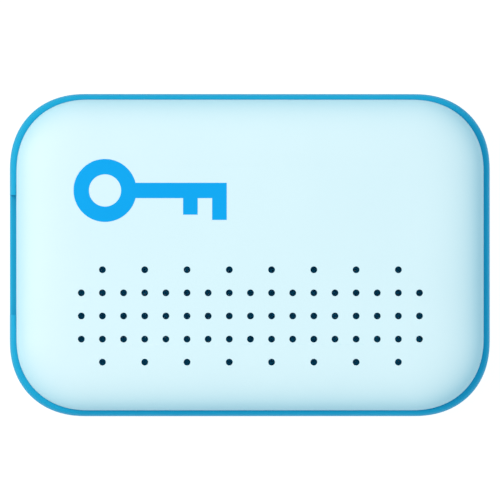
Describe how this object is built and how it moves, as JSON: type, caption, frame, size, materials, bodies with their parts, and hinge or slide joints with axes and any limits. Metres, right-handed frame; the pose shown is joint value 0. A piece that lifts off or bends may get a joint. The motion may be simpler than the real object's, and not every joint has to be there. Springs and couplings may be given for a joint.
{
  "type": "bluetooth tracker tag",
  "caption": "Flat rounded tracker tag: a pale cover with sound holes over a blue back shell with a strap bar, holding a board, sounder, push switch and coin cell.",
  "frame": {"origin": "centre of the flat back, which rests on z = 0", "axes": "+X along the length, away from the strap bar; +Y across the width, away from the sound holes; +Z out of the front face"},
  "size_m": [0.0364, 0.0244, 0.0058],
  "materials": {
    "cover_plastic": "satin, very pale blue",
    "shell_plastic": "smooth, bright blue",
    "mesh_plastic": "navy, fine stiff mesh",
    "foam": "dark closed-cell foam",
    "brass": "rolled",
    "ceramic": "matt white",
    "spring_metal": "nickel-plated strip",
    "board": "green solder mask",
    "steel": "bright",
    "epoxy": "black, moulded",
    "ferrite": "dark grey",
    "capacitor_ceramic": "tan with tinned ends",
    "resistor_ceramic": "black with tinned ends",
    "plunger_plastic": "white, moulded",
    "cell_steel": "nickel-plated, drawn",
    "nylon": "milky",
    "lithium": "dull",
    "separator": "white fleece",
    "cathode": "black pressed powder"
  },
  "bodies": {
    "case": {"back_shell": "shell_plastic", "circuit_board": "board", "board_screw_upper": "steel", "board_screw_lower": "steel", "radio_chip": "epoxy", "radio_crystal": "steel", "clock_crystal": "steel", "chip_antenna": "ceramic", "antenna_inductor": "ceramic", "sounder_inductor": "ferrite", "sounder_driver": "epoxy", "reservoir_capacitor": "capacitor_ceramic", "chip_capacitor_1": "capacitor_ceramic", "chip_capacitor_2": "capacitor_ceramic", "chip_capacitor_3": "capacitor_ceramic", "chip_capacitor_4": "capacitor_ceramic", "chip_resistor_1": "resistor_ceramic", "chip_resistor_2": "resistor_ceramic", "chip_resistor_3": "resistor_ceramic", "switch_base": "epoxy", "switch_terminal_front": "spring_metal", "switch_terminal_back": "spring_metal", "switch_dome": "steel", "switch_frame": "steel", "cell_contact_lower": "spring_metal", "cell_contact_side": "spring_metal", "sounder_spring_brass": "spring_metal", "sounder_spring_ceramic": "spring_metal"},
    "cover": {"front_cover": "cover_plastic", "sound_mesh": "mesh_plastic", "cell_pad": "foam", "sounder_foam_ring": "foam", "sounder_brass_disc": "brass", "sounder_ceramic_disc": "ceramic"},
    "cell": {"cell_can": "cell_steel", "cell_gasket": "nylon", "cell_cap": "cell_steel", "cell_lithium_disc": "lithium", "cell_separator": "separator", "cell_cathode": "cathode"},
    "button": {"switch_plunger": "plunger_plastic"}
  },
  "joints": [
    {"name": "cover_lift", "type": "slide", "parent": "case", "child": "cover", "axis": [0, 0, 1], "range_m": [0, 0.016]},
    {"name": "cell_lift", "type": "slide", "parent": "case", "child": "cell", "axis": [0, 0, 1], "range_m": [0, 0.0064]},
    {"name": "switch_press", "type": "slide", "parent": "case", "child": "button", "axis": [0, 0, -1], "range_m": [0, 0.00025], "stiffness_N_per_m": 6000, "deforming": ["switch_dome"]}
  ],
  "couplings": [
    {"joint": "cell_lift", "follows": "cover_lift", "ratio": 0.4}
  ]
}
